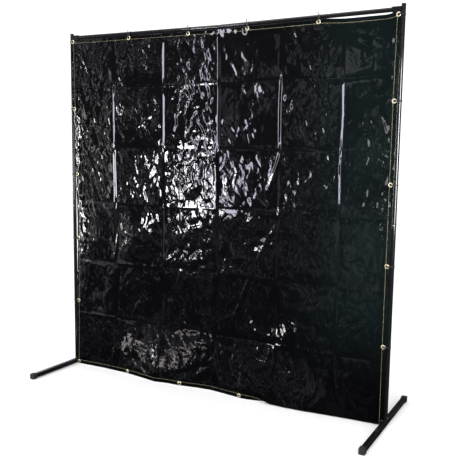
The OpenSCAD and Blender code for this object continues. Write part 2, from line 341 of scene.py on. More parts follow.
def fold_relief(x, z):
    """Steps along the upright folds and sharp ridges along the level ones."""
    stray_x = x + layered(x, z, STRAY_X)
    stray_z = z + layered(x, z, STRAY_Z)
    column, _ = panel_of(x, z)
    relief = np.zeros(x.shape)
    heights = np.array((hem_z - OUTER_ROW,) + FOLD_Z[::-1] + (corner_top + OUTER_ROW,))
    middles = (heights[1:] + heights[:-1]) / 2
    places = np.stack([middles - STEP_SPREAD, middles + STEP_SPREAD], axis=-1).ravel()
    for fold, row_slopes in zip(FOLD_X, STEP_SLOPE):
        relief += step_fold(stray_x - fold, np.interp(z, places, np.repeat(row_slopes[::-1], 2)))
    chance = np.random.default_rng(FOLD_SEED)
    strength = chance.uniform(*FOLD_STRENGTH, (len(FOLD_Z), len(FOLD_X) + 1))
    for j, strong_column in STRONG_FOLDS:
        strength[j, strong_column] = STRONGEST
    for j, fold in enumerate(FOLD_Z):
        side = np.where((column + j) % 2 == 0, 1.0, -1.0) * strength[j, column]
        relief += side * crease(stray_z - fold, FOLD_SLOPE)
    return relief


def long_fold_relief(x, z):
    """Soft folds that run across the panels in straight lines."""
    relief = np.zeros(x.shape)
    for start_x, start_z, end_x, end_z, height in LONG_FOLDS:
        run_x, run_z = end_x - start_x, end_z - start_z
        length = math.hypot(run_x, run_z)
        along = ((x - start_x) * run_x + (z - start_z) * run_z) / length ** 2
        aside = ((x - start_x) * run_z - (z - start_z) * run_x) / length
        fade = np.sin(np.pi * np.clip(along, 0, 1)) ** 0.5
        relief += height * fade * bump(aside + layered(x, z, LONG_FOLD_STRAY), LONG_FOLD_WIDTH)
    return relief


def panel_share(x, z):
    """How far across and up its panel a place is, each from 0 to 1, with the panel's number."""
    edges_x = np.array((-half_width,) + FOLD_X + (half_width,))
    edges_z = np.array((hem_z,) + FOLD_Z[::-1] + (corner_top,))
    column, row = panel_of(x, z)
    up = len(FOLD_Z) - row
    across = (x - edges_x[column]) / (edges_x[column + 1] - edges_x[column])
    rise = (z - edges_z[up]) / (edges_z[up + 1] - edges_z[up])
    return np.clip(across, 0, 1), np.clip(rise, 0, 1), column, row


def panel_relief(x, z):
    """Each panel between folds is dished one way or the other, and is level at its edges."""
    across, rise, column, row = panel_share(x, z)
    chance = np.random.default_rng(BULGE_SEED)
    depth = chance.uniform(-BULGE, BULGE, (len(FOLD_Z) + 1, len(FOLD_X) + 1))
    for bulged_column, bulged_row, height in BULGED:
        depth[bulged_row, bulged_column] = height
    dish = depth[row, column] * (np.sin(np.pi * across) * np.sin(np.pi * rise)) ** 2
    width = FOLD_X[DISHED_COLUMN] - FOLD_X[DISHED_COLUMN - 1]
    lean = np.interp(z, DISHED_Z, DISHED) * width
    # The dished panels fall back quickly, come forward slowly, and the next ones make up the rest
    first = across - across ** 2 / (2 * DISH_TURN)
    last = DISH_TURN / 2 - (across - DISH_TURN) ** 2 / (4 * (1 - DISH_TURN))
    rest = DISH_TURN / 2 - (1 - DISH_TURN) / 4
    back = np.where(column == DISHED_COLUMN, np.where(across < DISH_TURN, first, last), 0)
    back = np.where(column == DISHED_COLUMN + 1, rest * (1 - across), back)
    return dish - lean * back


def crinkle(x, z, size, slope, seed):
    """Dents with sharp ridges between them, as in stiff film that has been crushed."""
    warp_x = x + WARP * size * smooth_noise(x, z, size * WARP_SIZE, seed + 1)
    warp_z = SQUASH * z + WARP * size * smooth_noise(x, z, size * WARP_SIZE, seed + 2)
    relief = np.zeros(x.shape)
    for number, (share, larger, slant_x, slant_z, sharp) in enumerate(CRINKLE_PARTS):
        part_x = slant_x[0] * warp_x + slant_x[1] * warp_z
        part_z = slant_z[0] * warp_x + slant_z[1] * warp_z
        part = smooth_noise(part_x, part_z, size * larger, seed + 3 + number)
        relief += share * (np.abs(part) if sharp else part)
    return slope * size * relief


def crinkle_strength(x, z):
    """The crumpling of the panel, less beside its folds, and patchy."""
    across, rise, column, row = panel_share(x, z)
    inside = np.minimum(np.minimum(across, 1 - across) * EDGE_ASPECT, np.minimum(rise, 1 - rise))
    patchy = 1 + layered(x, z, CRUMPLED_PATCHES)
    off_edge = EDGE_WEAKEST + (1 - EDGE_WEAKEST) * np.clip(inside / EDGE_SHARE, 0, 1)
    strength = np.array(CRUMPLED)[row, column] * patchy * off_edge
    for spot_x, spot_z, reach, added in CRUMPLED_SPOTS:
        strength += added * bump(np.hypot(x - spot_x, z - spot_z), reach)
    to_fold = np.min(np.abs(x[..., None] - np.array(FOLD_X)), axis=-1)
    off_fold = np.clip((to_fold - FOLD_CLEAR[0]) / FOLD_CLEAR[1], 0, 1)
    return strength * (FOLD_WEAKEST + (1 - FOLD_WEAKEST) * off_fold)


def top_edge(x):
    """Height of the sheet's upper edge."""
    return bar_line(x) - top_gap


def hem_distance(x, z):
    """Distance in from the nearest edge of the sheet."""
    side = half_width - np.abs(x)
    return np.minimum(np.minimum(side, top_edge(x) - z), z - hem_z)


def left_curl(x, z):
    """The left hem falls back at its edge, unevenly, between the upper and lower corners."""
    between = np.interp(z, CURL_LOW, (0, 1)) * np.interp(z, CURL_HIGH, (1, 0))
    uneven = 1 + layered(x, z, CURL_UNEVEN)
    return -CURL_DEPTH * between * uneven * np.exp(-(x + half_width) / CURL_REACH)


def relief(x, z):
    """How far the sheet stands forward of its plane at flat place x, z."""
    height = layered(x, z, WAVES) + fold_relief(x, z) + long_fold_relief(x, z) + panel_relief(x, z)
    height += crinkle_strength(x, z) * sum(crinkle(x, z, *sort) for sort in CRINKLES)
    inset = hem_distance(x, z)
    pucker = layered(x, z, PUCKERS) * np.where(z > corner_top - PUCKER_TOP_REACH, PUCKER_TOP, 1)
    height *= np.clip(inset / EDGE_REACH, EDGE_FADE, 1)
    height += pucker * bump(inset - HEM_WIDTH, PUCKER_WIDTH) + left_curl(x, z)
    low = np.clip(1 - (z - hem_z) / SWING_REACH, 0, 1)
    height += np.interp(x, SWING_X, SWING_Y) * eased(low)
    held = np.ones(x.shape)
    for centre in top_row + left_column + right_column:
        held = np.minimum(held, 1 - bump(np.hypot(x - centre[0], z - centre[2]), HELD_REACH))
    return height * held


def side_pull(x, z):
    """How far the sheet is pulled in from the side it is near."""
    heights = [low_row[0][2]] + [c[2] for c in left_column[::-1]] + [top_row[0][2]]
    left = np.interp(z, heights, PULL_LEFT[::-1])
    right = np.interp(z, heights, PULL_RIGHT[::-1])
    share = np.clip(np.abs(x) / half_width, 0, 1) ** 3
    return np.where(x < 0, left, -right) * share


def turned_under(x, z):
    """How far back the turned hem is at flat place x, z, its height, and the angle it faces down."""
    share = np.clip((x - TURN_START) / (TURN_FULL - TURN_START), 0, 1)
    angle = TURN_ANGLE * eased(share) + NO_ANGLE
    radius = TURN_BEND / angle
    along = np.clip(hem_z + TURN_LENGTH - z, 0, None)
    facing = angle * np.clip(along / TURN_BEND, 0, 1)
    beyond = np.clip(along - TURN_BEND, 0, None)
    back = radius * (1 - np.cos(facing)) + beyond * np.sin(facing)
    down = radius * np.sin(facing) + beyond * np.cos(facing)
    hanging = radius * np.sin(angle) + (TURN_LENGTH - TURN_BEND) * np.cos(angle)
    lowest = np.where(angle > math.pi / 2, radius, hanging)
    near = np.clip((TURN_REACH - z) / (TURN_REACH - hem_z - TURN_LENGTH), 0, 1)
    height = np.maximum(z, hem_z + TURN_LENGTH) - (TURN_LENGTH - lowest) * near - down
    return back, height, facing


def sheet_point(x, z):
    """Where flat place x, z of the sheet's middle is, as x, y, z arrays."""
    tied = np.array([c[0] for c in top_row])
    bay = np.clip(np.searchsorted(tied, x) - 1, 0, len(BAY_DROOP) - 1)
    share = np.clip((x - tied[bay]) / (tied[bay + 1] - tied[bay]), 0, 1)
    hang = np.clip(share / DROOP_ENDS[0], 0, 1) * np.clip((1 - share) / DROOP_ENDS[1], 0, 1)
    near_top = np.clip((z - corner_top) / DROOP_REACH + 1, 0, 1) ** 2
    droop = np.array(BAY_DROOP)[bay] * eased(hang) * near_top
    back, height, _ = turned_under(x, z)
    tuck = TUCK * np.clip((TUCK_HEIGHT - height) / TUCK_FADE, 0, 1) * np.interp(np.abs(x), TUCK_X, (0, 1))
    place_x = x + side_pull(x, z) - np.sign(x) * tuck
    return place_x, sheet_y - relief(x, z) + back, height - droop


def add_object(name, data):
    """A new object in the scene."""
    made = bpy.data.objects.new(name, data)
    bpy.context.scene.collection.objects.link(made)
    return made


def spaced(edges, step):
    """Values from the first edge to the last that hit every edge, about a step apart."""
    values = []
    for start, end in zip(edges, edges[1:]):
        count = max(2, round((end - start) / step))
        values.extend(np.linspace(start, end, count, endpoint=False))
    return np.array(values + [edges[-1]])


def grid_mesh(name, front, back):
    """A closed sheet from two matching grids of points, joined round the edge."""
    rows, columns = front.shape[:2]
    count = rows * columns
    index = np.arange(count).reshape(rows, columns)
    corners = [index[:-1, :-1], index[:-1, 1:], index[1:, 1:], index[1:, :-1]]
    quads = np.stack(corners, axis=-1).reshape(-1, 4)
    rim = np.concatenate([index[0, :-1], index[:-1, -1], index[-1, :0:-1], index[:0:-1, 0]])
    after = np.roll(rim, -1)
    sides = np.stack([after, rim, rim + count, after + count], axis=-1)
    faces = np.concatenate([quads, quads[:, ::-1] + count, sides])
    mesh = bpy.data.meshes.new(name)
    points = np.concatenate([front.reshape(-1, 3), back.reshape(-1, 3)])
    mesh.vertices.add(len(points))
    mesh.vertices.foreach_set("co", points.astype(np.float32).ravel())
    mesh.loops.add(faces.size)
    mesh.loops.foreach_set("vertex_index", faces.astype(np.int32).ravel())
    mesh.polygons.add(len(faces))
    mesh.polygons.foreach_set("loop_start", np.arange(0, faces.size, 4, dtype=np.int32))
    mesh.update(calc_edges=True)
    mesh.validate()
    mesh.polygons.foreach_set("use_smooth", np.ones(len(mesh.polygons), bool))
    return add_object(name, mesh)


def face_direction(facing):
    """Outward directions of a sheet that faces forward, turned down by the given angles."""
    return np.stack([np.zeros(facing.shape), -np.cos(facing), -np.sin(facing)], axis=-1)


def make_curtain():
    """The whole sheet. Its front eases down from the hem and its back has the hem's step."""
    across = spaced([-half_width, -half_width + RIM, -half_width + HEM_WIDTH, 0,
                     half_width - HEM_WIDTH, half_width - RIM, half_width], MESH_STEP)
    up = spaced(ROW_SHARES, MESH_STEP / (corner_top - hem_z))
    x, share = np.meshgrid(across, up)
    z = hem_z + share * (top_edge(x) - hem_z)
    place = np.stack(sheet_point(x, z), axis=-1)
    inset = hem_distance(x, z)
    rounded = np.clip(inset / EDGE_ROUNDING, 0, 1)
    edge = np.sqrt(np.clip(1 - (1 - rounded) ** 2, EDGE_LEAST, 1))
    outward = face_direction(turned_under(x, z)[2])
    half_hem, half_sheet = HEM_THICKNESS / 2, SHEET_THICKNESS / 2
    thinner = (half_hem - half_sheet) * np.clip((inset - HEM_WIDTH) / HEM_EASE, 0, 1)
    front = place + outward * (half_hem * edge - thinner)[..., None]
    thick = np.where(inset < HEM_WIDTH + HEM_EASE / 2, half_hem, half_sheet)
    back = place - outward * (thick * edge)[..., None]
    sheet = grid_mesh("curtain_sheet", front, back)
    crumple = np.clip(crinkle_strength(x, z), 0, MOST_CRUMPLED)
    crumple *= np.clip(inset / FINE_REACH, EDGE_FADE, 1)
    layer = sheet.data.attributes.new("crumple", "FLOAT", "POINT")
    layer.data.foreach_set("value", np.tile(crumple.ravel(), 2).astype(np.float32))
    return sheet


# ---------------------------------------------------------------- fittings

class Shells:
    """Collects closed shells of points and faces into one mesh."""

    def __init__(self):
        self.points = []
        self.faces = []

    def add_rings(self, rings, closed_path, matrix=None):
        """Joins equal rings of points into a tube, closed on itself or capped at both ends."""
        start = len(self.points)
        size = len(rings[0])
        for ring in rings:
            for point in ring:
                place = Vector(point)
                self.points.append(matrix @ place if matrix else place)
        spans = len(rings) if closed_path else len(rings) - 1
        for i in range(spans):
            here = start + i * size
            there = start + (i + 1) % len(rings) * size
            for k in range(size):
                after = (k + 1) % size
                self.faces.append((here + k, here + after, there + after, there + k))
        if not closed_path:
            self.faces.append(tuple(start + k for k in reversed(range(size))))
            self.faces.append(tuple(start + spans * size + k for k in range(size)))

    def build(self, name, flat_angle=35):
        """Makes the object. Edges sharper than the angle, in degrees, are shaded sharp."""
        mesh = bpy.data.meshes.new(name)
        mesh.from_pydata([tuple(p) for p in self.points], [], self.faces)
        mesh.validate()
        mesh.polygons.foreach_set("use_smooth", np.ones(len(mesh.polygons), bool))
        mesh.set_sharp_from_angle(angle=math.radians(flat_angle))
        return add_object(name, mesh)


# Over how much of the sheet round it an eyelet takes its slope, how much it may tilt on
# it, in radians, and how finely it is turned
EYELET_REACH = 0.011
EYELET_TILT = 0.07
EYELET_STEPS = 40
EYELET_SEED = 17
MILLIMETRE = 0.001


def lathe_rings(profile):
    """Rings of a closed radius and depth profile turned about local Z."""
    rings = []
    for i in range(EYELET_STEPS):
        angle = 2 * math.pi * i / EYELET_STEPS
        rings.append([(r * math.cos(angle), r * math.sin(angle), d) for r, d in profile])
    return rings


def place_on_sheet(x, z):
    """Place and outward direction of the sheet at flat place x, z."""
    reach = EYELET_REACH
    across = np.array([x, x + reach, x - reach, x, x])
    height = np.array([z, z, z, min(z + reach, top_edge(x)), max(z - reach, hem_z)])
    points = [Vector(p) for p in np.stack(sheet_point(across, height), axis=-1)]
    outward = (points[1] - points[2]).cross(points[3] - points[4])
    return points[0], outward.normalized()


# Eyelet flange from the hole outwards, and the rolled washer at the back: radius and depth
# in millimetres
FLANGE = ((5.0, -3.4), (5.0, 2.4), (5.6, 3.1), (6.6, 3.3), (8.2, 3.1), (9.6, 2.4), (10.4, 1.4),
          (10.5, 0.85), (5.7, 0.85), (5.7, -2.4), (7.2, -2.4), (7.4, -2.9), (6.8, -3.4), (5.6, -3.6))
WASHER = ((5.8, -0.85), (10.5, -0.85), (10.3, -1.5), (8.6, -2.0), (6.9, -1.9), (5.8, -1.5))


def make_eyelets():
    """Every eyelet and its washer, each turned to lie on the sheet."""
    flanges, washers = Shells(), Shells()
    chance = np.random.default_rng(EYELET_SEED)
    for centre in top_row + low_row + left_column + right_column:
        place, outward = place_on_sheet(centre[0], centre[2])
        tilt = Vector(chance.uniform(-EYELET_TILT, EYELET_TILT, 3))
        turn = (outward + tilt).to_track_quat("Z", "Y").to_matrix().to_4x4()
        matrix = Matrix.Translation(place) @ turn @ Matrix.Scale(MILLIMETRE, 4)
        flanges.add_rings(lathe_rings(FLANGE), True, matrix)
        washers.add_rings(lathe_rings(WASHER), True, matrix)
    return flanges.build("eyelet_flanges"), washers.build("eyelet_backs")


# Bends of a band are drawn with a ring of points about this often
ARC_STEP = math.radians(12)


def touch(p, q):
    """Direction of the outward normal of the line that touches circles p and q."""
    away = (q[0] - p[0], q[1] - p[1])
    return math.atan2(away[1], away[0]) - math.acos((p[2] - q[2]) / math.hypot(*away))


def pulled_tight(circles):
    """Points and outward directions of a band round circles x, y, radius, anticlockwise."""
    path = []
    count = len(circles)
    for i, circle in enumerate(circles):
        start = touch(circles[i - 1], circle)
        sweep = (touch(circle, circles[(i + 1) % count]) - start) % (2 * math.pi)
        steps = max(2, math.ceil(sweep / ARC_STEP))
        for k in range(steps + 1):
            angle = start + sweep * k / steps
            facing = Vector((math.cos(angle), math.sin(angle)))
            path.append((Vector(circle[:2]) + circle[2] * facing, facing))
    return path


# Cable tie: width, thickness, edge rounding and sharpest bend of the band
BAND_WIDTH = 0.0046
BAND_THICKNESS = 0.0012
BAND_ROUNDING = 0.0003
BAND_BEND = 0.0007
# How far in front of and behind the sheet the band runs, how far from the hole's middle
# it passes, and its play on the tube
BAND_FRONT = 0.0036
BAND_BACK = 0.0040
BAND_ASIDE = 0.0006
BAND_PLAY = 0.0001
# The ratchet head: its size, its distance from the hole's middle and its rounding
HEAD_SIZE = (0.0078, 0.0048, 0.0072)
HEAD_START = 0.0022
HEAD_ROUNDING = 0.0007
# The raised pad on the head: how far in from its ends it starts, how far it stands
# proud and reaches in, half its width and its rounding
PAD_ENDS = (0.0012, 0.0014)
PAD_DEPTHS = (0.0006, 0.0010)
PAD_SIDE = 0.0024
PAD_ROUNDING = 0.0003
# The teeth of the tail, where the tail starts in the head, its width as a share of the
# band's, and how it narrows to its tip
TOOTH_STEP = 0.0009
TOOTH_DEPTH = 0.00022
TAIL_START = 0.0004
TAIL_WIDTH = 0.82
TIP_WIDTH = 0.62
TIP_LENGTH = 0.006


def band_ring(place, facing, width, inner, outer):
    """Section of a band at a place: width along local Z, thickness along its facing."""
    side = width / 2
    near, far = place - facing * inner, place + facing * outer
    soft_near, soft_far = near + facing * BAND_ROUNDING, far - facing * BAND_ROUNDING
    corners = ((near, side - BAND_ROUNDING), (soft_near, side), (soft_far, side),
               (far, side - BAND_ROUNDING), (far, BAND_ROUNDING - side), (soft_far, -side),
               (soft_near, -side), (near, BAND_ROUNDING - side))
    return [(p.x, p.y, z) for p, z in corners]


def rounded_block(shells, low, high, rounding, matrix):
    """A block with eased edges, built as a stack of eight-sided rings along local X."""
    rings = []
    ends = ((low[0], rounding), (low[0] + rounding, 0), (high[0] - rounding, 0), (high[0], rounding))
    for x, ease in ends:
        y0, y1, z0, z1 = low[1] + ease, high[1] - ease, low[2] + ease, high[2] - ease
        r = rounding
        rings.append([(x, y0 + r, z0), (x, y1 - r, z0), (x, y1, z0 + r), (x, y1, z1 - r),
                      (x, y1 - r, z1), (x, y0 + r, z1), (x, y0, z1 - r), (x, y0, z0 + r)])
    shells.add_rings(rings, False, matrix)


def add_tie(shells, matrix, away, forward, inset, tail):
    """A tie round a tube on local Z, through an eyelet away on -X and forward on -Y."""
    half = BAND_THICKNESS / 2
    front_y = -forward - BAND_FRONT - half + BAND_BEND
    circles = [(BAND_ASIDE - away, front_y, BAND_BEND),
               (inset - away - BAND_ASIDE, front_y, BAND_BEND),
               (0, 0, tube_radius + BAND_PLAY + half),
               (BAND_ASIDE - away, BAND_BACK - forward, BAND_BEND)]
    rings = [band_ring(place, facing, BAND_WIDTH, half, half) for place, facing in pulled_tight(circles)]
    shells.add_rings(rings, True, matrix)
    head_y = front_y - BAND_BEND - half - HEAD_SIZE[1]
    head_low = Vector((HEAD_START - away, head_y, -HEAD_SIZE[2] / 2))
    head_high = head_low + Vector(HEAD_SIZE)
    rounded_block(shells, head_low, head_high, HEAD_ROUNDING, matrix)
    pad_low = Vector((head_low.x + PAD_ENDS[0], head_y - PAD_DEPTHS[0], -PAD_SIDE))
    pad_high = Vector((head_high.x - PAD_ENDS[1], head_y + PAD_DEPTHS[1], PAD_SIDE))
    rounded_block(shells, pad_low, pad_high, PAD_ROUNDING, matrix)
    middle_y = head_y + HEAD_SIZE[1] / 2
    start, end = head_low.x + TAIL_START, tube_radius + tail
    teeth = []
    count = int((end - start) / TOOTH_STEP)
    for k in range(count + 1):
        x = start + (end - start) * k / count
        width = BAND_WIDTH * TAIL_WIDTH * min(1, TIP_WIDTH + (1 - TIP_WIDTH) * (end - x) / TIP_LENGTH)
        lift = TOOTH_DEPTH if k % 2 else 0
        teeth.append(band_ring(Vector((x, middle_y)), Vector((0, -1)), width, half, half - lift))
    shells.add_rings(teeth, False, matrix)


# How far from its hole's middle a tie leaves the hem, and the sway of the top ties
TOP_INSET = 0.012
SIDE_INSET = 0.015
TOP_SWAY = 0.06
TOP_SEED = 23
# How far the cut tail of each tie stands past the tube, from the left and from the top
# down; a minus ends short of its far side
TOP_TAILS = (0.0075, 0.0085, 0.0090, 0.0095)
LEFT_TAILS = (-0.0100, -0.0110, -0.0090, -0.0120, -0.0100)
RIGHT_TAILS = (0.0090, 0.0095, 0.0085, 0.0095, 0.0080)


def make_top_ties():
    """The ties of the crossbar, each swayed a little about it."""
    shells = Shells()
    chance = np.random.default_rng(TOP_SEED)
    # Local X points up and local Z to the left, so local -Y is the curtain side
    turn = Matrix(((0, 0, -1), (0, 1, 0), (1, 0, 0))).to_4x4()
    for centre, tail in zip(top_row[1:-1], TOP_TAILS):
        place, _ = place_on_sheet(centre[0], centre[2])
        middle = float(bar_line(centre[0]))
        sway = Matrix.Rotation(chance.uniform(-TOP_SWAY, TOP_SWAY), 4, "Y")
        matrix = Matrix.Translation((place.x, 0, middle)) @ sway @ turn
        add_tie(shells, matrix, middle - place.z, -place.y, TOP_INSET, tail)
    return shells.build("top_cable_ties")


def make_side_ties(name, centres, tails, side):
    """Ties of one upright. They are built for the right side and turned round for the left."""
    shells = Shells()
    for centre, tail in zip(centres, tails):
        place, _ = place_on_sheet(centre[0], centre[2])
        matrix = Matrix.Translation((side * post_x, 0, place.z))
        if side < 0:
            matrix = matrix @ Matrix.Rotation(math.pi, 4, "X") @ Matrix.Rotation(math.pi, 4, "Z")
        add_tie(shells, matrix, post_x - abs(place.x), -place.y, SIDE_INSET, tail)
    return shells.build(name)


# Stitches: the length of one with its gap, the share of it at which the thread starts
# and ends, its radius, its skew, its flattening and how far it is lifted off the sheet
STITCH_STEP = 0.0062
STITCH_SHARES = (0.13, 0.87)
STITCH_RADIUS = 0.0008
STITCH_SKEW = 0.0002
STITCH_FLATTENING = 0.7
STITCH_LIFT = 0.1
# The outline of a stitch: share of its length, share of its radius
STITCH_BEADS = ((0.0, 0.45), (0.12, 0.9), (0.5, 1.0), (0.88, 0.9), (1.0, 0.45))
STITCH_SIDES = 6
STITCH_SEED = 29


def hem_lines():
    """The straight stitch lines, of which the top has two, as places on the flat sheet."""
    side = half_width - HEM_WIDTH
    low = hem_z + HEM_WIDTH
    high = corner_top - HEM_WIDTH
    middle_top = float(top_edge(0)) - HEM_WIDTH
    corners = ((-side, low), (side, low), (side, high), (0, middle_top), (-side, high), (-side, low))
    return zip(corners, corners[1:])


def make_stitching():
    """Separate stitches round the hem, each a short bead of thread lying on the sheet."""
    shells = Shells()
    chance = np.random.default_rng(STITCH_SEED)
    for start, end in hem_lines():
        length = math.hypot(end[0] - start[0], end[1] - start[1])
        count = int(length / STITCH_STEP)
        share = (np.arange(count)[:, None] + np.array(STITCH_SHARES)) / count
        x = start[0] + (end[0] - start[0]) * share
        z = start[1] + (end[1] - start[1]) * share
        outward = face_direction(turned_under(x, z)[2])
        places = np.stack(sheet_point(x, z), axis=-1) + outward * HEM_THICKNESS / 2
        for (first, last), off_sheet in zip(places, outward[:, 0]):
            first, last = Vector(first), Vector(last)
            along = (last - first).normalized()
            aside = along.cross(Vector(off_sheet)).normalized()
            forward = aside.cross(along)
            skew = aside * chance.uniform(-STITCH_SKEW, STITCH_SKEW)
            rings = []
            for share_along, size in STITCH_BEADS:
                middle = first.lerp(last, share_along) + skew * share_along
                ring = []
                for k in range(STITCH_SIDES):
                    angle = 2 * math.pi * k / STITCH_SIDES
                    rise = STITCH_FLATTENING * math.sin(angle) + STITCH_LIFT
                    offset = aside * math.cos(angle) + forward * rise
                    ring.append(middle + offset * STITCH_RADIUS * size)
                rings.append(ring)
            shells.add_rings(rings, False)
    return shells.build("hem_stitching", 80)


# ---------------------------------------------------------------- materials

def material(name, colour, roughness, metallic=0.0, **inputs):
    made = bpy.data.materials.new(name)
    made.use_nodes = True
    shader = shader_of(made)
    shader.inputs["Base Color"].default_value = (*colour, 1)
    shader.inputs["Roughness"].default_value = roughness
    shader.inputs["Metallic"].default_value = metallic
    for key, value in inputs.items():
        shader.inputs[key.replace("_", " ")].default_value = value
    return made


def shader_of(made):
    return made.node_tree.nodes["Principled BSDF"]


def noise_node(tree, scale, detail=3.0, coordinates="Object"):
    place = tree.nodes.new("ShaderNodeTexCoord")
    noise = tree.nodes.new("ShaderNodeTexNoise")
    noise.inputs["Scale"].default_value = scale
    noise.inputs["Detail"].default_value = detail
    tree.links.new(place.outputs[coordinates], noise.inputs["Vector"])
    return noise


def position(tree, coordinates="Object"):
    """The X, Y and Z of the shaded place."""
    place = tree.nodes.new("ShaderNodeTexCoord")
    split = tree.nodes.new("ShaderNodeSeparateXYZ")
    tree.links.new(place.outputs[coordinates], split.inputs["Vector"])
    return split.outputs


def map_range(tree, value, before, after=(0.0, 1.0), smooth=False):
    """A value carried from one range to another and kept within it."""
    ramp = tree.nodes.new("ShaderNodeMapRange")
    if smooth:
        ramp.interpolation_type = "SMOOTHSTEP"
    for name, number in zip(("From Min", "From Max", "To Min", "To Max"), before + after):
        ramp.inputs[name].default_value = number
    tree.links.new(value, ramp.inputs["Value"])
    return ramp.outputs["Result"]


def combine(tree, operation, first, second):
    """One number from two."""
    node = tree.nodes.new("ShaderNodeMath")
    node.operation = operation
    tree.links.new(first, node.inputs[0])
    tree.links.new(second, node.inputs[1])
    return node.outputs["Value"]


def blend(tree, share, first, second, clamp=True):
    """A blend of two colours, each given as numbers or as the output of a node."""
    mix = tree.nodes.new("ShaderNodeMix")
    mix.data_type = "RGBA"
    mix.clamp_factor = clamp
    tree.links.new(share, mix.inputs[0])
    for socket, colour in zip((mix.inputs[6], mix.inputs[7]), (first, second)):
        if isinstance(colour, tuple):
            socket.default_value = (*colour, 1)
        else:
            tree.links.new(colour, socket)
    return mix.outputs[2]


def add_bump(made, noise, height):
    """Fine relief in metres on top of whatever bump the material already has."""
    tree = made.node_tree
    normal = shader_of(made).inputs["Normal"]
    relief_node = tree.nodes.new("ShaderNodeBump")
    relief_node.inputs["Distance"].default_value = height
    tree.links.new(noise.outputs["Fac"], relief_node.inputs["Height"])
    if normal.is_linked:
        tree.links.new(normal.links[0].from_socket, relief_node.inputs["Normal"])
    tree.links.new(relief_node.outputs["Normal"], normal)
    return relief_node


# Noise mostly lies between these, and detail that most surfaces use
NOISE_RANGE = (0.3, 0.7)
SURFACE_DETAIL = 4.0


def vary_roughness(made, scale, low, high):
    """Drives the roughness with noise between low and high."""
    tree = made.node_tree
    noise = noise_node(tree, scale, SURFACE_DETAIL)
    rough = map_range(tree, noise.outputs["Fac"], NOISE_RANGE, (low, high))
    tree.links.new(rough, shader_of(made).inputs["Roughness"])


def vary_colour(made, scale, first, second):
    """Blends the base colour between two colours with noise."""
    tree = made.node_tree
    noise = noise_node(tree, scale, SURFACE_DETAIL)
    colour = blend(tree, noise.outputs["Fac"], first, second)
    tree.links.new(colour, shader_of(made).inputs["Base Color"])


# The vinyl is near black, with a green cast that grows towards the right side and upwards
VINYL_BLACK = (0.0015, 0.0016, 0.0020)
VINYL_GREEN = (0.0036, 0.0076, 0.0074)
GREEN_X = (0.35, 0.80)
GREEN_Z = (0.15, 0.50)
GREEN_PATCHES = 7.0
# The crinkles too fine for the mesh: scale and height of each layer, and their distortion
FINE_CRINKLES = ((70.0, 0.00030), (170.0, 0.00010))
FINE_DISTORTION = 1.2


def tint_vinyl(made):
    tree = made.node_tree
    place = position(tree)
    across = map_range(tree, place["X"], GREEN_X, smooth=True)
    height = map_range(tree, place["Z"], GREEN_Z, smooth=True)
    patches = noise_node(tree, GREEN_PATCHES)
    upper_right = combine(tree, "MULTIPLY", across, height)
    amount = combine(tree, "MULTIPLY", upper_right, patches.outputs["Fac"])
    colour = blend(tree, amount, VINYL_BLACK, VINYL_GREEN)
    tree.links.new(colour, shader_of(made).inputs["Base Color"])


def fine_crinkles(made):
    """The finest crinkles, as strong as the crumpling stored on the mesh."""
    tree = made.node_tree
    stored = tree.nodes.new("ShaderNodeAttribute")
    stored.attribute_name = "crumple"
    for scale, height in FINE_CRINKLES:
        noise = noise_node(tree, scale, 2.0)
        noise.noise_type = "RIDGED_MULTIFRACTAL"
        noise.inputs["Distortion"].default_value = FINE_DISTORTION
        relief_node = add_bump(made, noise, height)
        tree.links.new(stored.outputs["Fac"], relief_node.inputs["Strength"])


def make_materials():
    """Every material, by a plain name."""
    vinyl = material("vinyl", VINYL_BLACK, roughness=0.06)
    tint_vinyl(vinyl)
    vary_roughness(vinyl, 14.0, low=0.025, high=0.055)
    fine_crinkles(vinyl)
    paint = material("frame_paint", (0.006, 0.006, 0.007), roughness=0.12)
    vary_colour(paint, 8.0, (0.005, 0.005, 0.006), (0.009, 0.009, 0.010))
    vary_roughness(paint, 30.0, low=0.07, high=0.12)
    add_bump(paint, noise_node(paint.node_tree, 500.0, 2.0), height=0.00003)
    rubber = material("rubber", (0.02, 0.02, 0.02), roughness=0.6)
    vary_colour(rubber, 60.0, (0.014, 0.014, 0.014), (0.028, 0.028, 0.027))
    add_bump(rubber, noise_node(rubber.node_tree, 700.0, 4.0), height=0.0002)
    plug = material("plug_plastic", (0.015, 0.015, 0.015), roughness=0.45)
    vary_roughness(plug, 80.0, low=0.35, high=0.55)
    brass = material("eyelet_brass", (0.84, 0.76, 0.54), roughness=0.28, metallic=0.75)
    vary_colour(brass, 120.0, (0.78, 0.66, 0.42), (0.92, 0.85, 0.66))
    vary_roughness(brass, 300.0, low=0.16, high=0.36)
    nylon = material("tie_nylon", (0.012, 0.012, 0.012), roughness=0.38)
    vary_roughness(nylon, 200.0, low=0.3, high=0.46)
    zinc = material("clip_zinc", (0.55, 0.56, 0.58), roughness=0.32, metallic=1.0)
    vary_roughness(zinc, 500.0, low=0.22, high=0.42)
    thread = material("hem_thread", (0.25, 0.23, 0.12), roughness=0.75)
    vary_colour(thread, 400.0, (0.19, 0.175, 0.09), (0.30, 0.28, 0.16))
    return {"vinyl": vinyl, "paint": paint, "rubber": rubber, "plug": plug, "brass": brass,
            "nylon": nylon, "zinc": zinc, "thread": thread}


def dress_cad_nodes(materials):
    """Gives each CAD node the material of its record slot."""
    by_slot = {"frame_paint": "paint", "rubber_caps": "rubber", "tube_plugs": "plug",
               "curtain_vinyl": "vinyl", "eyelet_brass": "brass", "cable_ties": "nylon",
               "clip_steel": "zinc"}
    for part in frame["record"]["subparts"]:
        node = nodes[part["node"]]
        node.data.materials.clear()
        node.data.materials.append(materials[by_slot[part["material_slot"]]])


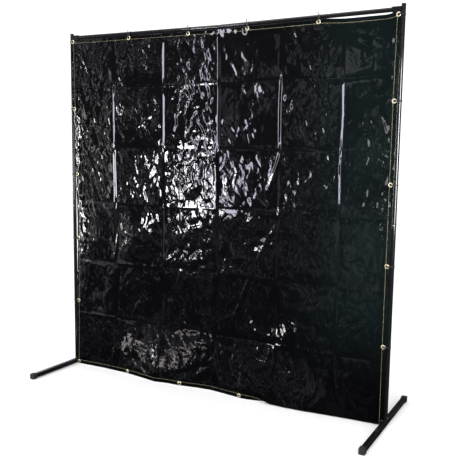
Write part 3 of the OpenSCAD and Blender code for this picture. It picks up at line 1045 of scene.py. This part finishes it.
def place_piece(piece, made, slot, *replaced):
    """Gives a new piece its material and its body, and hides the CAD nodes it stands for; the record slot
    is not used.
    """
    piece.data.materials.append(made)
    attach(piece, BODY)
    if replaced:
        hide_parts(*replaced)


# ---------------------------------------------------------------- studio

WHITE = (1.0, 1.0, 1.0)
COOL_WHITE = (0.95, 0.95, 1.0)
LAVENDER = (0.85, 0.83, 1.0)
WARM_PINK = (1.0, 0.90, 0.93)
# Lights, which the camera doesn't see: name, place, aim, width, height, power in watts
# and colour
LIGHTS = (
    ("left_softbox", (-1.95, -2.9, 0.98), (0, 0, 1.05), 0.27, 0.55, 20, COOL_WHITE),
    ("tall_strip", (-1.55, -2.95, 1.60), (0, 0, 1.3), 0.15, 1.7, 12, LAVENDER),
    ("low_strip", (-0.60, -0.45, 0.07), (-0.35, 0, 0.1), 0.5, 0.035, 0.26, WARM_PINK),
    ("low_spot", (0.155, -0.45, 0.23), (0.34, 0, 0.26), 0.035, 0.03, 0.075, WHITE),
    ("far_left_strip", (-3.5, -2.9, 0.9), (0, 0, 0.9), 0.08, 1.6, 1.5, WHITE),
    ("side_softbox", (-4.6, -2.9, 0.95), (-0.9, 0, 0.9), 0.16, 1.8, 32, WHITE),
    ("right_strip", (0.6, -2.9, 1.54), (0.9, 0, 1.4), 0.3, 1.8, 9, WHITE),
    ("right_wall", (3.04, -2.38, 1.30), (0.9, 0, 1.2), 1.1, 1.5, 14, WHITE),
    ("top_light", (0, -0.6, 3.2), (0, 0, 1), 2.4, 1.2, 20, WHITE),
)
# The light for the right post is kept off the rest of the screen
SPREADS = {"right_wall": math.radians(40)}
# What the gloss reflects of the room: brighter upwards and to the left, in patches
ROOM_Z = (-0.30, 0.17)
ROOM_BRIGHTNESS_Z = (0.27, 2.2)
ROOM_X = (-0.66, -0.25)
ROOM_BRIGHTNESS_X = (1.0, 0.3)
ROOM_PATCHES = 12.0
ROOM_NOISE = (0.51, 0.66)
ROOM_PATCH_BRIGHTNESS = (0.04, 1.1)
BLACK = (0.0, 0.0, 0.0)
ROOM_COLOUR = (0.94, 0.93, 1.0)
# The white that the camera and the matt surfaces see all round
BACKDROP = (1.25, 1.25, 1.25)
FLOOR_COLOUR = (0.93, 0.93, 0.93)
FLOOR_REACH = 14.0
# The eye is right of the middle and level with the upper third of the screen
EYE = (1.6466, -2.7487, 1.1717)
EYE_TURN = math.radians(26.87)
EYE_DOWN = math.radians(7.0)
EYE_ROLL = math.radians(-1.107)
SENSOR_WIDTH = 36
LENS = 50.63
SHIFT_X = -0.0639
SHIFT_Y = 0.0213


def soft_light(name, place, aim, width, height, power, colour):
    light = bpy.data.lights.new(name, "AREA")
    light.shape = "RECTANGLE"
    light.size = width
    light.size_y = height
    light.energy = power
    light.color = colour
    if name in SPREADS:
        light.spread = SPREADS[name]
    lamp = add_object(name, light)
    lamp.location = place
    direction = Vector(aim) - Vector(place)
    lamp.rotation_euler = direction.to_track_quat("-Z", "Y").to_euler()


def room_reflection(tree):
    """A dim, uneven room for the gloss to reflect."""
    noise = noise_node(tree, ROOM_PATCHES, 4.0, "Generated")
    place = position(tree, "Generated")
    height = map_range(tree, place["Z"], ROOM_Z, ROOM_BRIGHTNESS_Z)
    across = map_range(tree, place["X"], ROOM_X, ROOM_BRIGHTNESS_X)
    patches = map_range(tree, noise.outputs["Fac"], ROOM_NOISE, ROOM_PATCH_BRIGHTNESS)
    gradient = combine(tree, "MULTIPLY", height, across)
    brightness = combine(tree, "MULTIPLY", gradient, patches)
    return blend(tree, brightness, BLACK, ROOM_COLOUR, clamp=False)


def make_world():
    """A white backdrop for the eye and for diffuse light, and a dim room for reflections."""
    world = bpy.data.worlds.new("studio")
    bpy.context.scene.world = world
    world.use_nodes = True
    tree = world.node_tree
    rays = tree.nodes.new("ShaderNodeLightPath").outputs
    white = combine(tree, "MAXIMUM", rays["Is Camera Ray"], rays["Is Diffuse Ray"])
    colour = blend(tree, white, room_reflection(tree), BACKDROP)
    tree.links.new(colour, tree.nodes["Background"].inputs["Color"])


def make_floor():
    mesh = bpy.data.meshes.new("studio_floor")
    reach = FLOOR_REACH
    corners = [(-reach, -reach, 0), (reach, -reach, 0), (reach, reach, 0), (-reach, reach, 0)]
    mesh.from_pydata(corners, [], [(0, 1, 2, 3)])
    floor = add_object("studio_floor", mesh)
    pale = material("pale_floor", FLOOR_COLOUR, roughness=1.0, Specular_IOR_Level=0.0)
    floor.data.materials.append(pale)
    floor.visible_glossy = False


def make_camera():
    ahead = Vector((-math.sin(EYE_TURN) * math.cos(EYE_DOWN), math.cos(EYE_TURN) * math.cos(EYE_DOWN),
                    -math.sin(EYE_DOWN)))
    level = Vector((math.cos(EYE_TURN), math.sin(EYE_TURN), 0))
    below = ahead.cross(level)
    right = level * math.cos(EYE_ROLL) + below * math.sin(EYE_ROLL)
    up = level * math.sin(EYE_ROLL) - below * math.cos(EYE_ROLL)
    data = bpy.data.cameras.new("camera")
    data.sensor_width = SENSOR_WIDTH
    data.lens = LENS
    data.shift_x = SHIFT_X
    data.shift_y = SHIFT_Y
    camera = add_object("camera", data)
    turned = Matrix((right, up, -ahead)).transposed().to_4x4()
    camera.matrix_world = Matrix.Translation(EYE) @ turned
    bpy.context.scene.camera = camera
    bpy.context.scene.view_settings.view_transform = "Standard"


# ---------------------------------------------------------------- build

materials = make_materials()
dress_cad_nodes(materials)
curtain = make_curtain()
place_piece(curtain, materials["vinyl"], "curtain_vinyl", "curtain")
flanges, washers = make_eyelets()
place_piece(flanges, materials["brass"], "eyelet_brass", "eyelets")
place_piece(washers, materials["brass"], "eyelet_brass", "eyelet_washers")
place_piece(make_top_ties(), materials["nylon"], "cable_ties", "top_ties")
left_ties = make_side_ties("left_cable_ties", [top_row[0]] + left_column, LEFT_TAILS, -1)
place_piece(left_ties, materials["nylon"], "cable_ties", "left_ties")
right_ties = make_side_ties("right_cable_ties", [top_row[-1]] + right_column, RIGHT_TAILS, 1)
place_piece(right_ties, materials["nylon"], "cable_ties", "right_ties")
place_piece(make_stitching(), materials["thread"], "curtain_vinyl")
make_world()
for light_values in LIGHTS:
    soft_light(*light_values)
make_floor()
make_camera()
